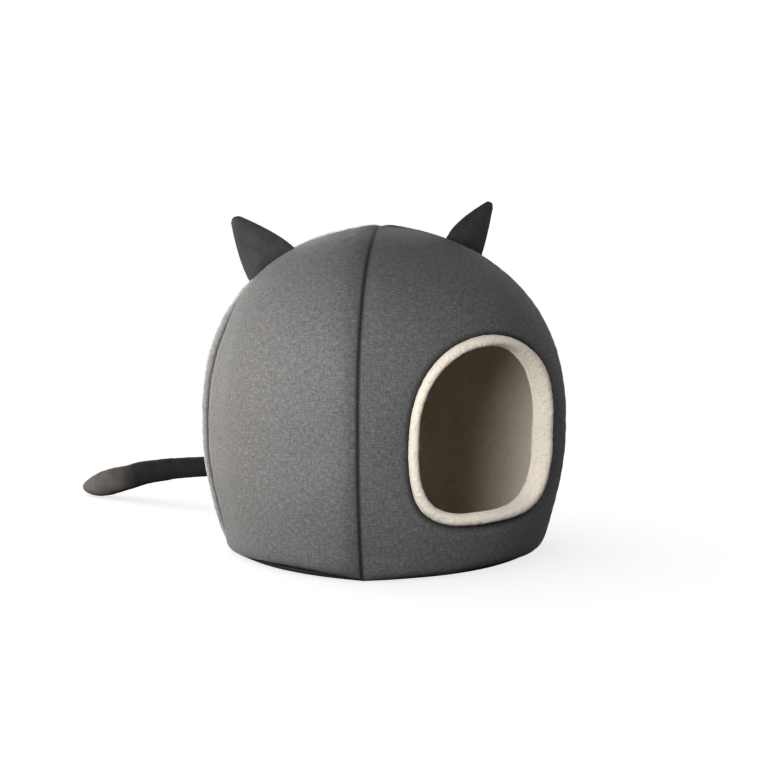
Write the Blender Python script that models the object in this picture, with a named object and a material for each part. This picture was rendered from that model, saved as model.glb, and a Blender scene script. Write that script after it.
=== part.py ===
"""Cave bed for a small pet: four padded felt gores sewn into a dome, with a fleece-lined
doorway in the front gore, two stuffed ears and a stuffed tail.

The origin is on the floor under the dome's middle, +Z is up and the doorway faces -Y.
Angles round the dome run from -Y toward +X.
"""
from math import asin, atan2, cos, degrees, exp, hypot, pi, radians, sin, sqrt

import bpy
from mathutils import Vector

# Dome, measured on the seams between the gores
SEAM_RADIUS = 0.200
FLOOR_RADIUS = 0.171
WIDEST_HEIGHT = 0.133
DOME_HEIGHT = 0.3634
FLARE_POWER = 1.63
CROWN_POWER = 2.57
SHOULDER_POWER = 0.577
APEX_SHIFT = (-0.0042, 0.0037)
APEX_RADIUS = 0.004

# How round each level is, from 0, straight between seams, to 1, a circle
ROUNDNESS_FLOOR = 0.73
ROUNDNESS_WIDEST = 0.541
ROUNDNESS_APEX = 0.870

# Gores: the front and the back one are wider than the two at the sides
FRONT_HALF_ANGLE = 49.5
SIDE_HALF_ANGLE = 90.0 - FRONT_HALF_ANGLE
PUFF = 0.0115
PUFF_REACH = 0.007
PUFF_APEX_RADIUS = 0.05
HEM_PUFF = 0.55
HEM_REACH = 0.004
WALL_DEPTH = 0.004
LINING_THICKNESS = 0.003
FRONT_LINING_EASE = 0.0006
GAP = 0.0003

# Doorway, as a rounded arch in the front view
DOOR_HALF_WIDTH = 0.1065
DOOR_HALF_HEIGHT = 0.1005
DOOR_MIDDLE_HEIGHT = 0.155
DOOR_TOP_POWER = 2.15
DOOR_SILL_POWER = 3.4
RIM_WIDTH = 0.010
RIM_PROUD = 0.0015
RIM_ROUND = 0.0045
RIM_GAP = 0.0004

# Bottom cloth and the padded floor on it
BASE_CLOTH = 0.003
BASE_INSET = 0.004
FLOOR_PAD_TOP = 0.016
FLOOR_PAD_INSET = 0.009
FLOOR_PAD_ROUND = 0.005
WALL_FOOT = BASE_CLOTH + GAP

# Ears: the same cut, one in a seam and one just behind the opposite seam
EAR_WIDTH = 0.0630
EAR_HEIGHT = 0.0691
EAR_HALF_THICKNESS = 0.0052
EAR_TIP_HALF_THICKNESS = 0.0028
EAR_SIDE_POWER = 1.41
EAR_TIP_HALF_WIDTH = 0.0045
EAR_TIP_ROUND = 0.0040
EAR_GAP = 0.0009
# Angle and height of the foot, then splay, lean and twist in degrees
EAR_LEFT = (FRONT_HALF_ANGLE - 180.0, 0.3195, 1.8, 0.0, 0.5)
EAR_RIGHT = (FRONT_HALF_ANGLE + 11.5, 0.3361, 8.8, 22.5, 26.4)

# Tail: middle line from the back gore to the floor, and half-thickness along it
TAIL_ROUTE = (
    (0.0000, 0.0000, 0.0620),
    (-0.0070, 0.2400, 0.0605),
    (-0.0271, 0.3067, 0.0537),
    (-0.0485, 0.3747, 0.0420),
    (-0.0639, 0.4232, 0.0281),
    (-0.0782, 0.4659, 0.0143),
    (-0.0863, 0.4866, 0.0098),
)
TAIL_ROOT_RADIUS = 0.0100
TAIL_END_RADIUS = 0.0160
TAIL_SWELL_POWER = 1.4
TAIL_TIP_LENGTH = 0.055
TAIL_TIP_POWER = 2.5

# Mesh density
GORE_ROWS = 18
GORE_COLUMNS = (0.0, 0.30, 0.60, 0.82, 0.94, 1.0)
FRONT_SILL_POINTS = 14
FRONT_RINGS = (0.0, 0.06, 0.28, 0.56, 0.78, 0.90, 0.965, 1.0)
RIM_CORNER_STEPS = 2
BASE_POINTS = 60
EAR_LEVELS = (0.0, 0.15, 0.31, 0.47, 0.62, 0.76, 0.87, 0.945, 0.975, 0.993)
EAR_POINTS = 16
TAIL_CURVE_STEPS = 240
TAIL_STEPS = 20
TAIL_TIP_STEPS = 6
TAIL_POINTS = 12

GORES = {
    "front": (0.0, FRONT_HALF_ANGLE),
    "right": (90.0, SIDE_HALF_ANGLE),
    "back": (180.0, FRONT_HALF_ANGLE),
    "left": (-90.0, SIDE_HALF_ANGLE),
}


def clamp(value, low=0.0, high=1.0):
    return max(low, min(high, value))


def crown(z):
    """Fraction of the way from the widest level up to the apex."""
    return clamp((z - WIDEST_HEIGHT) / (DOME_HEIGHT - WIDEST_HEIGHT))


def seam_radius(z):
    """Distance from the dome's axis to a seam at height z."""
    if z <= WIDEST_HEIGHT:
        below = clamp((WIDEST_HEIGHT - z) / WIDEST_HEIGHT)
        return SEAM_RADIUS - (SEAM_RADIUS - FLOOR_RADIUS) * below ** FLARE_POWER
    return SEAM_RADIUS * (1.0 - crown(z) ** CROWN_POWER) ** SHOULDER_POWER


def roundness(z):
    if z <= WIDEST_HEIGHT:
        return ROUNDNESS_FLOOR + (ROUNDNESS_WIDEST - ROUNDNESS_FLOOR) * z / WIDEST_HEIGHT
    return ROUNDNESS_WIDEST + (ROUNDNESS_APEX - ROUNDNESS_WIDEST) * crown(z)


def seam_profile(samples=1200):
    """Heights up a seam with the length run so far, close together near the apex."""
    top = APEX_RADIUS / SEAM_RADIUS
    top_height = (1.0 - top ** (1.0 / SHOULDER_POWER)) ** (1.0 / CROWN_POWER)
    heights = []
    for i in range(samples + 1):
        f = i / samples
        if f < 0.35:
            heights.append(WALL_FOOT + (WIDEST_HEIGHT - WALL_FOOT) * f / 0.35)
        else:
            rise = sin((f - 0.35) / 0.65 * pi / 2)
            heights.append(WIDEST_HEIGHT + (DOME_HEIGHT - WIDEST_HEIGHT) * rise * top_height)
    lengths = [0.0]
    for low, high in zip(heights, heights[1:]):
        step = hypot(high - low, seam_radius(high) - seam_radius(low))
        lengths.append(lengths[-1] + step)
    return heights, lengths


HEIGHTS, LENGTHS = seam_profile()


def lookup(value, keys, results):
    """Straight interpolation in a rising table."""
    low, high = 0, len(keys) - 1
    while high - low > 1:
        middle = (low + high) // 2
        if keys[middle] <= value:
            low = middle
        else:
            high = middle
    part = clamp((value - keys[low]) / (keys[high] - keys[low]))
    return results[low] + (results[high] - results[low]) * part


def height_at(climb):
    """Height at a fraction of the way up a seam."""
    return lookup(climb * LENGTHS[-1], LENGTHS, HEIGHTS)


def climb_at(z):
    return lookup(z, HEIGHTS, LENGTHS) / LENGTHS[-1]


def gore_of(angle):
    """Middle angle and half-angle of the gore at this angle round the dome."""
    for middle, half in GORES.values():
        if abs((angle - middle + 180.0) % 360.0 - 180.0) <= half + 1e-9:
            return middle, half
    return GORES["front"]


def flat_radius(angle, z, gore):
    """Distance from the axis to a gore without its padding."""
    middle, half = gore
    turn = radians((angle - middle + 180.0) % 360.0 - 180.0)
    stretch = cos(radians(half)) / cos(turn)
    q = roundness(z)
    return seam_radius(z) * ((1.0 - q) * stretch + q)


def padding(angle, z, gore):
    """How far the padded face stands out from the seams."""
    middle, half = gore
    turn = abs((angle - middle + 180.0) % 360.0 - 180.0)
    radius = seam_radius(z)
    to_seam = max(0.0, radians(half - turn)) * radius
    across = 1.0 - exp(-to_seam / PUFF_REACH)
    up = HEM_PUFF + (1.0 - HEM_PUFF) * (1.0 - exp(-max(0.0, z - WALL_FOOT) / HEM_REACH))
    return PUFF * across * up * clamp(radius / PUFF_APEX_RADIUS)


def outer_radius(angle, z, gore=None):
    gore = gore or gore_of(angle)
    return flat_radius(angle, z, gore) + padding(angle, z, gore)


def slope_out(z):
    """Outward direction across a seam, as (outward, upward) parts."""
    step = 0.0005
    high = min(z + step, HEIGHTS[-1])
    low = max(z - step, 0.0)
    rise = high - low
    run = seam_radius(high) - seam_radius(low)
    size = hypot(rise, run)
    foot = clamp((z - WALL_FOOT) / 0.03)
    return rise / size, -run / size * foot


def apex_shift(z):
    lean = crown(z) ** 2
    return APEX_SHIFT[0] * lean, APEX_SHIFT[1] * lean


def wall_point(angle, climb, gore, depth=None):
    """A point on a gore's padded outer face, or at a depth under its seam level."""
    z = height_at(climb)
    middle, half = gore
    trim = degrees(GAP / 2 / seam_radius(z))
    angle = clamp(angle, middle - half + trim, middle + half - trim)
    radius = flat_radius(angle, z, gore)
    height = z
    if depth is None:
        radius += padding(angle, z, gore)
    else:
        out, up = slope_out(z)
        radius -= depth * out
        height -= depth * up
    dx, dy = apex_shift(z)
    turn = radians(angle)
    return Vector((radius * sin(turn) + dx, -radius * cos(turn) + dy, height))


def seam_point(angle, z):
    """A point on the seam line itself."""
    dx, dy = apex_shift(z)
    turn = radians(angle)
    return Vector((seam_radius(z) * sin(turn) + dx, -seam_radius(z) * cos(turn) + dy, z))


def clear_of_dome(point):
    """Radial distance from a point to the padded face, positive outside."""
    if point.z >= DOME_HEIGHT:
        return 1.0
    dx, dy = apex_shift(point.z)
    x, y = point.x - dx, point.y - dy
    angle = degrees(atan2(x, -y))
    return hypot(x, y) - outer_radius(angle, point.z)


def material(name, color, roughness=0.9):
    shader = bpy.data.materials.new(name)
    shader.use_nodes = True
    principled = shader.node_tree.nodes["Principled BSDF"]
    principled.inputs["Base Color"].default_value = (*color, 1.0)
    principled.inputs["Roughness"].default_value = roughness
    shader.diffuse_color = (*color, 1.0)
    return shader


def solid(name, points, faces, finish):
    mesh = bpy.data.meshes.new(name)
    mesh.from_pydata([tuple(p) for p in points], [], faces)
    mesh.materials.append(finish)
    mesh.validate()
    mesh.shade_smooth()
    mesh.set_sharp_from_angle(angle=radians(50.0))
    body = bpy.data.objects.new(name, mesh)
    bpy.context.scene.collection.objects.link(body)
    return body


def strips(rows, closed):
    """Triangles between neighbouring rows of point numbers, all split the same way."""
    faces = []
    for low, high in zip(rows, rows[1:]):
        count = len(low)
        for i in range(count if closed else count - 1):
            j = (i + 1) % count
            faces.append((low[i], low[j], high[j]))
            faces.append((low[i], high[j], high[i]))
    return faces


def two_sided(columns):
    """Fractions across a gore, from its left seam to its right one."""
    return [-c for c in reversed(columns[1:])] + list(columns)


def add_gore(name, gore, depths, finish):
    """A gore's closed shell, from its outer face to its inner face."""
    middle, half = gore
    across = two_sided(GORE_COLUMNS)
    points = []
    sheets = []
    for depth in depths:
        sheet = []
        for r in range(GORE_ROWS + 1):
            row = []
            for c in across:
                row.append(len(points))
                points.append(wall_point(middle + c * half, r / GORE_ROWS, gore, depth))
            sheet.append(row)
        sheets.append(sheet)
    outer, inner = sheets
    faces = strips(outer, False)
    faces += [tuple(reversed(f)) for f in strips(inner, False)]
    faces += strips([inner[0], outer[0]], False)
    faces += strips([outer[-1], inner[-1]], False)
    faces += strips([[row[0] for row in outer], [row[0] for row in inner]], False)
    faces += strips([[row[-1] for row in inner], [row[-1] for row in outer]], False)
    return solid(name, points, faces, finish)


def door_reach(bearing, inset=0.0):
    """Distance from the doorway's middle to its outline, at a bearing in the front view."""
    c, s = cos(bearing), sin(bearing)
    power = DOOR_TOP_POWER if s >= 0.0 else DOOR_SILL_POWER
    width = DOOR_HALF_WIDTH - inset
    height = DOOR_HALF_HEIGHT - inset
    return (abs(c / width) ** power + abs(s / height) ** power) ** (-1.0 / power)


def door_place(bearing, inset=0.0):
    """Angle round the dome and height of a point on the doorway's outline."""
    reach = door_reach(bearing, inset)
    x = reach * cos(bearing)
    z = DOOR_MIDDLE_HEIGHT + reach * sin(bearing)
    angle = 0.0
    for _ in range(12):
        angle = degrees(asin(x / outer_radius(angle, z, GORES["front"])))
    return angle, z


def front_border():
    """The front gore's edge, once round, as fractions across and up."""
    border = [(-1.0 + 2.0 * i / FRONT_SILL_POINTS, 0.0) for i in range(FRONT_SILL_POINTS)]
    border += [(1.0, i / GORE_ROWS) for i in range(GORE_ROWS + 1)]
    border += [(-1.0, i / GORE_ROWS) for i in range(GORE_ROWS, 0, -1)]
    return border


def door_bearings():
    """Bearings of the front gore's edge points, seen from the doorway's middle."""
    gore = GORES["front"]
    bearings = []
    for across, climb in front_border():
        z = height_at(climb)
        x = outer_radius(across * gore[1], z, gore) * sin(radians(across * gore[1]))
        bearings.append(atan2(z - DOOR_MIDDLE_HEIGHT, x))
    return bearings


def add_front(name, depths, finish):
    """The front gore's closed shell, with the doorway left open."""
    gore = GORES["front"]
    half = gore[1]
    border = front_border()
    door = []
    for bearing in door_bearings():
        angle, z = door_place(bearing)
        door.append((angle / half, climb_at(z)))
    points = []
    sheets = []
    for depth in depths:
        sheet = []
        for ring in FRONT_RINGS:
            row = []
            for (a0, c0), (a1, c1) in zip(door, border):
                row.append(len(points))
                across = a0 + (a1 - a0) * ring
                climb = c0 + (c1 - c0) * ring
                points.append(wall_point(across * half, climb, gore, depth))
            sheet.append(row)
        sheets.append(sheet)
    outer, inner = sheets
    faces = [tuple(reversed(f)) for f in strips(outer, True)]
    faces += strips(inner, True)
    faces += strips([outer[0], inner[0]], True)
    faces += strips([inner[-1], outer[-1]], True)
    return solid(name, points, faces, finish)


def rim_section():
    """The rim's cross-section as (into the doorway, outward from the seam level), once round."""
    front = PUFF + RIM_PROUD
    back = -(WALL_DEPTH + GAP + LINING_THICKNESS + RIM_PROUD)
    section = [(0.0, back), (0.0, -WALL_DEPTH), (0.0, front)]
    for step in range(RIM_CORNER_STEPS + 1):
        turn = pi / 2 * step / RIM_CORNER_STEPS
        into = RIM_WIDTH - RIM_ROUND * (1.0 - sin(turn))
        section.append((into, front - RIM_ROUND * (1.0 - cos(turn))))
    for step in range(RIM_CORNER_STEPS + 1):
        turn = pi / 2 * step / RIM_CORNER_STEPS
        into = RIM_WIDTH - RIM_ROUND * (1.0 - cos(turn))
        section.append((into, back + RIM_ROUND * (1.0 - sin(turn))))
    return section


def through_wall(angle, climb, gore, lift):
    """A point on the line through the wall that joins its inner and outer faces."""
    if lift < -WALL_DEPTH:
        return wall_point(angle, climb, gore, -lift)
    inner = wall_point(angle, climb, gore, WALL_DEPTH)
    outer = wall_point(angle, climb, gore)
    return inner + (outer - inner) * ((lift + WALL_DEPTH) / (PUFF + WALL_DEPTH))


def add_rim(name, finish):
    """The fleece binding, swept round the doorway's edge."""
    gore = GORES["front"]
    section = rim_section()
    points = []
    rows = []
    for bearing in door_bearings():
        row = []
        for into, lift in section:
            angle, z = door_place(bearing, RIM_GAP + into)
            row.append(len(points))
            points.append(through_wall(angle, climb_at(z), gore, lift))
        rows.append(row)
    faces = [tuple(reversed(f)) for f in strips(rows + [rows[0]], True)]
    return solid(name, points, faces, finish)


def base_ring(inset, z, points):
    ring = []
    for i in range(BASE_POINTS):
        angle = 360.0 * i / BASE_POINTS
        gore = gore_of((angle + 180.0) % 360.0 - 180.0)
        radius = flat_radius(angle, 0.0, gore) + PUFF * HEM_PUFF - inset
        ring.append(len(points))
        turn = radians(angle)
        points.append((radius * sin(turn), -radius * cos(turn), z))
    return ring


def add_base(name, finish):
    """The bottom cloth with the padded floor inside the walls, flat underneath."""
    points = []
    pad_inset = PUFF * HEM_PUFF + WALL_DEPTH + GAP + LINING_THICKNESS + FLOOR_PAD_INSET
    rings = [
        base_ring(BASE_INSET, 0.0, points),
        base_ring(BASE_INSET, BASE_CLOTH, points),
        base_ring(pad_inset, BASE_CLOTH, points),
        base_ring(pad_inset, FLOOR_PAD_TOP - FLOOR_PAD_ROUND, points),
        base_ring(pad_inset + 0.3 * FLOOR_PAD_ROUND, FLOOR_PAD_TOP - 0.3 * FLOOR_PAD_ROUND, points),
        base_ring(pad_inset + FLOOR_PAD_ROUND, FLOOR_PAD_TOP, points),
    ]
    faces = strips(rings, True)
    faces.append(tuple(reversed(rings[0])))
    faces.append(tuple(rings[-1]))
    return solid(name, points, faces, finish)


def ear_frame(seam_angle, z, splay, lean, twist):
    """Foot of an ear on its seam, with its width, thickness and height directions.

    Splay tips the ear outward along the seam, lean tips it across the seam, and twist
    turns it about its own height.
    """
    foot = seam_point(seam_angle, z)
    out, up = slope_out(z)
    turn = radians(seam_angle)
    outward = Vector((sin(turn), -cos(turn), 0.0))
    around = Vector((cos(turn), sin(turn), 0.0))
    rise = outward * out + Vector((0.0, 0.0, up))
    along = outward * up - Vector((0.0, 0.0, out))
    rise, along = (rise * cos(radians(splay)) + along * sin(radians(splay)),
                   along * cos(radians(splay)) - rise * sin(radians(splay)))
    axis = rise * cos(radians(lean)) + around * sin(radians(lean))
    width = along * cos(radians(twist)) + axis.cross(along) * sin(radians(twist))
    return foot, width, axis.cross(width), axis


def ear_half_width(f):
    """Half the width of an ear at a fraction of its height, rounded off at the tip."""
    taper = 1.0 - clamp(f) ** EAR_SIDE_POWER
    side = EAR_TIP_HALF_WIDTH + (EAR_WIDTH / 2 - EAR_TIP_HALF_WIDTH) * taper
    to_tip = clamp(1.0 - (1.0 - f) * EAR_HEIGHT / EAR_TIP_ROUND)
    return side * sqrt(1.0 - to_tip ** 2)


def slide_to_dome(point, axis):
    """Distance along the axis that puts a point just clear of the padded face."""
    low, high = -0.03, 0.03
    for _ in range(40):
        middle = (low + high) / 2
        out, up = slope_out(clamp((point + axis * middle).z, 0.0, HEIGHTS[-1]))
        if clear_of_dome(point + axis * middle) * max(out, 0.2) > EAR_GAP:
            high = middle
        else:
            low = middle
    return high


def add_ear(name, placing, finish):
    foot, width, thick, axis = ear_frame(*placing)
    turns = [2.0 * pi * i / EAR_POINTS for i in range(EAR_POINTS)]
    slides = []
    for turn in turns:
        rim = width * (EAR_WIDTH / 2 * cos(turn)) + thick * (EAR_HALF_THICKNESS * sin(turn))
        slides.append(slide_to_dome(foot + rim, axis))
    points = []
    rows = []
    for level in EAR_LEVELS:
        half_thick = EAR_HALF_THICKNESS + (EAR_TIP_HALF_THICKNESS - EAR_HALF_THICKNESS) * level
        row = []
        for turn, slide in zip(turns, slides):
            f = level + slide / EAR_HEIGHT * (1.0 - level) ** 3
            flat = width * (ear_half_width(f) * cos(turn)) + thick * (half_thick * sin(turn))
            row.append(len(points))
            points.append(foot + flat + axis * (EAR_HEIGHT * f))
        rows.append(row)
    tip = len(points)
    points.append(foot + axis * EAR_HEIGHT)
    faces = strips(rows, True)
    last = rows[-1]
    for i in range(EAR_POINTS):
        faces.append((last[i], last[(i + 1) % EAR_POINTS], tip))
    first = rows[0]
    half = EAR_POINTS // 2
    faces.append((first[0], first[-1], first[1]))
    for i in range(1, half - 1):
        faces.append((first[i], first[-i], first[-i - 1], first[i + 1]))
    faces.append((first[half - 1], first[half + 1], first[half]))
    return solid(name, points, faces, finish)


def smooth_route(route, steps):
    """Closely spaced points on a smooth curve through the route's points."""
    nodes = [Vector(p) for p in route]
    nodes = [nodes[0] * 2 - nodes[1]] + nodes + [nodes[-1] * 2 - nodes[-2]]
    curve = []
    spans = len(route) - 1
    for i in range(steps + 1):
        place = i / steps * spans
        k = min(int(place), spans - 1)
        t = place - k
        a, b, c, d = nodes[k:k + 4]
        curve.append(0.5 * (2 * b + (c - a) * t + (2 * a - 5 * b + 4 * c - d) * t * t
                            + (3 * b - a - 3 * c + d) * t ** 3))
    return curve


def tail_radius(run, length):
    """Half-thickness of the tail at a distance from its root."""
    swell = clamp(run / (length - TAIL_TIP_LENGTH))
    radius = TAIL_ROOT_RADIUS + (TAIL_END_RADIUS - TAIL_ROOT_RADIUS) * swell ** TAIL_SWELL_POWER
    to_tip = clamp(1.0 - (length - run) / TAIL_TIP_LENGTH)
    return radius * sqrt(1.0 - to_tip ** TAIL_TIP_POWER)


def tail_runs(length):
    """Distances from the root of the tail's sections, closer together round its tip."""
    straight = length - TAIL_TIP_LENGTH
    runs = [straight * i / TAIL_STEPS for i in range(TAIL_STEPS)]
    for i in range(TAIL_TIP_STEPS):
        runs.append(straight + TAIL_TIP_LENGTH * sin(pi / 2 * i / TAIL_TIP_STEPS))
    return runs


def add_tail(name, finish):
    """A round stuffed tube that droops from the back gore to the floor."""
    root = Vector(TAIL_ROUTE[0])
    root.y = outer_radius(180.0, root.z) + GAP * 2
    curve = smooth_route((root, *TAIL_ROUTE[1:]), TAIL_CURVE_STEPS)
    marks = [0.0]
    for a, b in zip(curve, curve[1:]):
        marks.append(marks[-1] + (b - a).length)
    length = marks[-1]
    points = []
    rows = []
    for run in tail_runs(length):
        middle = lookup(run, marks, curve)
        ahead = lookup(run + 0.002, marks, curve) - lookup(run - 0.002, marks, curve)
        side = ahead.normalized().cross(Vector((0.0, 0.0, 1.0))).normalized()
        top = side.cross(ahead.normalized())
        radius = tail_radius(run, length)
        row = []
        for p in range(TAIL_POINTS):
            turn = 2.0 * pi * p / TAIL_POINTS
            row.append(len(points))
            points.append(middle + (side * cos(turn) + top * sin(turn)) * radius)
        rows.append(row)
    for p in rows[0]:
        points[p] = root_on_gore(points[p])
    faces = [tuple(reversed(f)) for f in strips(rows, True)]
    tip = len(points)
    points.append(curve[-1])
    last = rows[-1]
    for p in range(TAIL_POINTS):
        faces.append((last[(p + 1) % TAIL_POINTS], last[p], tip))
    faces.append(tuple(rows[0]))
    return solid(name, points, faces, finish)


def root_on_gore(point):
    """Moves a point of the tail's root ring along Y to just clear of the back gore."""
    y = 0.1
    while clear_of_dome(Vector((point.x, y, point.z))) < GAP * 2:
        y += 0.0001
    return Vector((point.x, y, point.z))


def build():
    for old in list(bpy.data.objects):
        bpy.data.objects.remove(old)
    felt = material("felt_charcoal", (0.115, 0.118, 0.122))
    dark_felt = material("felt_dark", (0.055, 0.057, 0.061))
    fleece = material("fleece_cream", (0.78, 0.73, 0.64))
    base_cloth = material("base_cloth", (0.03, 0.03, 0.032))
    wall_depths = (None, WALL_DEPTH)
    lining_depths = (WALL_DEPTH + GAP, WALL_DEPTH + GAP + LINING_THICKNESS)
    for place, gore in GORES.items():
        if place == "front":
            add_front("wall_front", wall_depths, felt)
            add_front("lining_front", (lining_depths[0] + FRONT_LINING_EASE, lining_depths[1]), fleece)
            continue
        add_gore("wall_" + place, gore, wall_depths, felt)
        add_gore("lining_" + place, gore, lining_depths, fleece)
    add_rim("door_rim", fleece)
    add_base("base", base_cloth)
    add_ear("ear_left", EAR_LEFT, dark_felt)
    add_ear("ear_right", EAR_RIGHT, dark_felt)
    add_tail("tail", dark_felt)


build()
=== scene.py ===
from math import atan2, cos, degrees, hypot, pi, radians, sin

import bpy
import numpy as np
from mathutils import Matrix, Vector, noise


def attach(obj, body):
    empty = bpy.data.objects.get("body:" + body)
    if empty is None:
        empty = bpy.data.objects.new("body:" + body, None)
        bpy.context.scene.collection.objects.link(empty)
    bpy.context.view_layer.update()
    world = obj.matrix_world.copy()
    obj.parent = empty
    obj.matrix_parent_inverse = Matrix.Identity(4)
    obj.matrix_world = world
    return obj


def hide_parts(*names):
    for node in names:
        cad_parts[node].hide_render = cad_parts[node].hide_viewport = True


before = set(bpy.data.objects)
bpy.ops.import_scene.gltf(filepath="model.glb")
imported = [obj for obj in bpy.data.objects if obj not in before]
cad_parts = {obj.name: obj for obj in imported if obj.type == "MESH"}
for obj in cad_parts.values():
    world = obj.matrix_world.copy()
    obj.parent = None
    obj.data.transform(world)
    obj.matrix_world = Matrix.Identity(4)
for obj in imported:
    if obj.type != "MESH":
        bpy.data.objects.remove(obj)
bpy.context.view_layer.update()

# Dome, the same sizes as the solids
SEAM_RADIUS = 0.200
FLOOR_RADIUS = 0.171
WIDEST_HEIGHT = 0.133
DOME_HEIGHT = 0.3634
FLARE_POWER = 1.63
CROWN_POWER = 2.57
SHOULDER_POWER = 0.577
APEX_SHIFT = (-0.0042, 0.0037)
APEX_RADIUS = 0.0004
ROUNDNESS_FLOOR = 0.73
ROUNDNESS_WIDEST = 0.541
ROUNDNESS_APEX = 0.870

# Gores and their padding
FRONT_HALF_ANGLE = 49.5
SIDE_HALF_ANGLE = 90.0 - FRONT_HALF_ANGLE
GORES = {
    "front": (0.0, FRONT_HALF_ANGLE),
    "right": (90.0, SIDE_HALF_ANGLE),
    "back": (180.0, FRONT_HALF_ANGLE),
    "left": (-90.0, SIDE_HALF_ANGLE),
}
LEFT_BACK_SEAM = FRONT_HALF_ANGLE - 180.0
# Two seams are drawn round the dome: the left back one toward the doorway, and the top of
# the front right one away from it, in degrees
BACK_SWING = 13.0
BACK_SWING_REACH = 38.0
BACK_SWING_FOOT = 0.060
BACK_SWING_TOP = 0.318
BACK_SWING_FADE = 0.08
CROWN_SWING = 14.0
CROWN_SWING_POWER = 2.2
CROWN_SWING_REACH = 32.0
# The left gore is slacker and the back one fuller beside the left back seam, over a reach in
# degrees, and the front gore curls in toward the front left seam
SLACK_LEFT = 0.0060
SLACK_LEFT_REACH = 26.0
FULL_BACK = 0.0024
FULL_BACK_REACH = 34.0
ROLL_FRONT = 0.0080
ROLL_FRONT_REACH = 0.028
FULLNESS_EDGE = 0.008
FULLNESS_FOOT = {"left": 0.03, "back": 0.10, "front": 0.03}
FULLNESS_TOP = 0.31
FULLNESS_FADE = 0.06
# Round the apex the gores stand up in shoulders and the seams sink between them
APEX_SHOULDER = 0.013
APEX_SHOULDER_EDGE = 0.004
APEX_RISE = 0.0022
APEX_SINK = 0.0022
APEX_SINK_RADIUS = 0.006
PUFF = 0.0115
PUFF_REACH = 0.007
PUFF_APEX_RADIUS = 0.05
HEM_PUFF = 0.34
HEM_REACH = 0.004
WALL_DEPTH = 0.004
LINING_THICKNESS = 0.003
LINING_PILE = 0.0006
GAP = 0.0003
WALL_FOOT = 0.0033

# Where each gore's lower edge lifts off the floor: middle and half-width as fractions
# across the gore, and height
HEM_REST = 0.0007
HEM_LIFT = {
    "front": (-0.10, 0.80, 0.0030),
    "right": (-0.25, 0.70, 0.0045),
    "back": (0.15, 0.75, 0.0032),
    "left": (0.30, 0.84, 0.0068),
}
HEM_FADE = 0.035

# Painted shade darkens the felt's colour in the seams and beside the doorway's binding:
# distances from a seam where that is full and where it ends, the colour left, and how much
# closer the doorway's edge counts than it is
SEAM_SHADE_FROM = 0.0005
SEAM_SHADE_TO = 0.0036
SEAM_SHADE = 0.22
DOOR_SHADE = 0.42

# Unevenness of the padded cloth
SOFT_DEPTH = 0.0011
SOFT_SIZE = 0.075
FINE_DEPTH = 0.00035
FINE_SIZE = 0.022
PUCKER_DEPTH = 0.0005
PUCKER_SIZE = 0.0085
PUCKER_REACH = 0.011

# Doorway and its rolled edge
DOOR_HALF_WIDTH = 0.1065
DOOR_HALF_HEIGHT = 0.1005
DOOR_MIDDLE_HEIGHT = 0.155
DOOR_TOP_POWER = 2.15
DOOR_SILL_POWER = 3.4
DOOR_PINCH = 0.30
DOOR_PINCH_REACH = 0.008
RIM_MIDDLE = 0.0050
RIM_HALF_WIDTH = 0.0056
RIM_FRONT = 0.0135
RIM_BACK = -0.0092
RIM_SECTION_POWER = 2.5

# Bottom cloth and the padded floor
HEM_OUT = 0.0063
BASE_INSET = 0.004
BASE_UNDER = 0.0002
BASE_CLOTH = 0.003
FLOOR_PAD_TOP = 0.0165
FLOOR_PAD_INSET = 0.0186
FLOOR_PAD_BELLY = 0.0038
FLOOR_PAD_CROWN = 0.0035

# Ears: of one size, sewn into the left back seam and the drawn top of the front right one
EAR_WIDTH = 0.0630
EAR_HEIGHT = 0.0691
EAR_HALF_THICKNESS = 0.0058
EAR_TIP_HALF_THICKNESS = 0.0026
EAR_SIDE_POWER = 1.41
EAR_TIP_HALF_WIDTH = 0.0045
EAR_TIP_ROUND = 0.0040
EAR_GAP = 0.0006
EAR_ROOT_SINK = 0.0035
# Angle and height of the foot, then splay, lean and twist in degrees
EARS = {
    "ear_left": (LEFT_BACK_SEAM, 0.3195, 1.8, 0.0, 0.5),
    "ear_right": (FRONT_HALF_ANGLE + 11.5, 0.3361, 8.8, 22.5, 26.4),
}

# Tail: middle line from the back gore to the floor, and half-thickness along it
TAIL_ROUTE = (
    (0.0000, 0.0000, 0.0620),
    (-0.0070, 0.2400, 0.0605),
    (-0.0271, 0.3067, 0.0537),
    (-0.0485, 0.3747, 0.0420),
    (-0.0639, 0.4232, 0.0281),
    (-0.0782, 0.4659, 0.0143),
    (-0.0863, 0.4866, 0.0098),
)
TAIL_ROOT_RADIUS = 0.0100
TAIL_END_RADIUS = 0.0160
TAIL_SWELL_POWER = 1.4
TAIL_TIP_LENGTH = 0.055
TAIL_TIP_POWER = 2.5
TAIL_LOWEST = 0.0003

# Colours, and where the tail's lighter tip, painted light, begins and ends, in metres from
# the root. The tail's colour is the ears' dark felt darkened by painted shade
FELT_COLOUR = (0.080, 0.080, 0.079)
EAR_COLOUR = (0.034, 0.034, 0.035)
TAIL_COLOUR_WITH_PAINTED_SHADE = (0.0085, 0.0085, 0.0085)
TAIL_TIP_PAINTED_LIGHT = (0.234, 0.345, (0.125, 0.117, 0.112))
FLEECE_COLOUR = (0.78, 0.70, 0.58)
BASE_COLOUR = (0.007, 0.007, 0.0075)
THREAD_COLOUR = (0.020, 0.020, 0.021)
WARM_LIGHT = (1.0, 0.945, 0.905)
COOL_LIGHT = (0.98, 0.99, 1.0)
WHITE_LIGHT = (1.0, 1.0, 1.0)

# Camera
VIEW_AZIMUTH = 41.5
VIEW_ELEVATION = 12.4519
VIEW_DISTANCE = 2.3212
VIEW_TARGET_SIDE = -0.0008
VIEW_TARGET_HEIGHT = 0.1862
LENS = 95.38


# The dome's surface

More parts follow.
